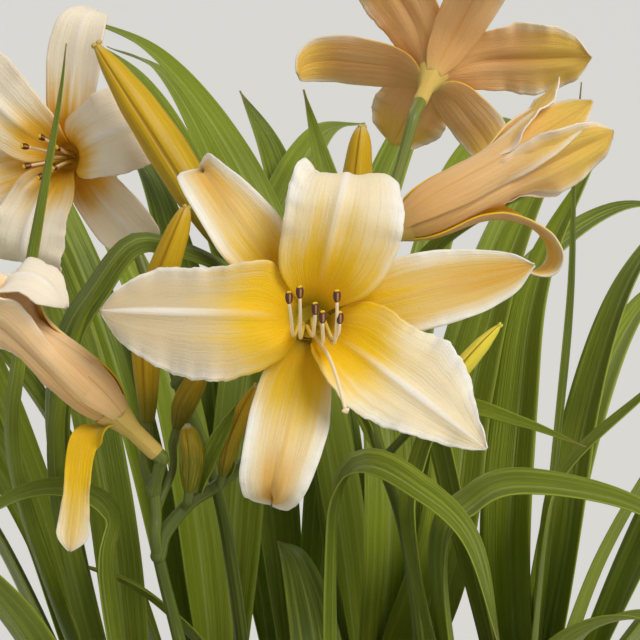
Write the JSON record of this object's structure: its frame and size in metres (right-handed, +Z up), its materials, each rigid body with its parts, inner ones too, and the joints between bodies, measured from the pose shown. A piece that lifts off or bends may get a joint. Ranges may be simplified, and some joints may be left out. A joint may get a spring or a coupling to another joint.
{
  "type": "potted daylily plant",
  "caption": "Clump of arching strap leaves with open trumpet blooms and buds on branching stems, in a clay pot.",
  "frame": {"origin": "middle of the pot's flat underside", "axes": "+Z up out of the pot, -Y the way the front bloom faces, +X to the right of someone who faces it"},
  "size_m": [0.6321, 0.5863, 0.5878],
  "materials": {
    "clay": "matt unglazed clay",
    "soil": "rough dark potting soil",
    "leaf": "satin green leaf with lengthwise veins",
    "scape": "smooth satin green stem",
    "petal": "soft cream petal with a yellow throat",
    "peach": "soft peach and orange petal",
    "stamen": "pale peach filament with a dark anther",
    "pistil": "pale peach style",
    "bud": "satin yellow-green bud"
  },
  "bodies": {
    "root": {"pot": "clay", "soil": "soil", "leaf_fan_1": "leaf", "leaf_fan_2": "leaf", "leaf_fan_3": "leaf", "leaf_fan_4": "leaf", "leaf_fan_5": "leaf", "leaf_fan_6": "leaf", "leaf_fan_7": "leaf", "leaf_fan_8": "leaf", "leaf_fan_9": "leaf", "scape_front": "scape", "scape_back": "scape", "scape_right": "scape", "hero_tepals": "petal", "hero_stamens": "stamen", "hero_pistil": "pistil", "left_tepals": "peach", "left_stamens": "stamen", "left_pistil": "pistil", "high_left_tepals": "peach", "high_left_stamens": "stamen", "high_left_pistil": "pistil", "high_right_tepals": "peach", "high_right_stamens": "stamen", "high_right_pistil": "pistil", "rear_tepals": "peach", "rear_stamens": "stamen", "rear_pistil": "pistil", "bud_small": "bud", "bud_green": "bud", "bud_bronze": "bud", "bud_long": "bud", "bud_great": "bud", "bud_crown": "bud", "bud_slim": "bud"}
  },
  "joints": []
}
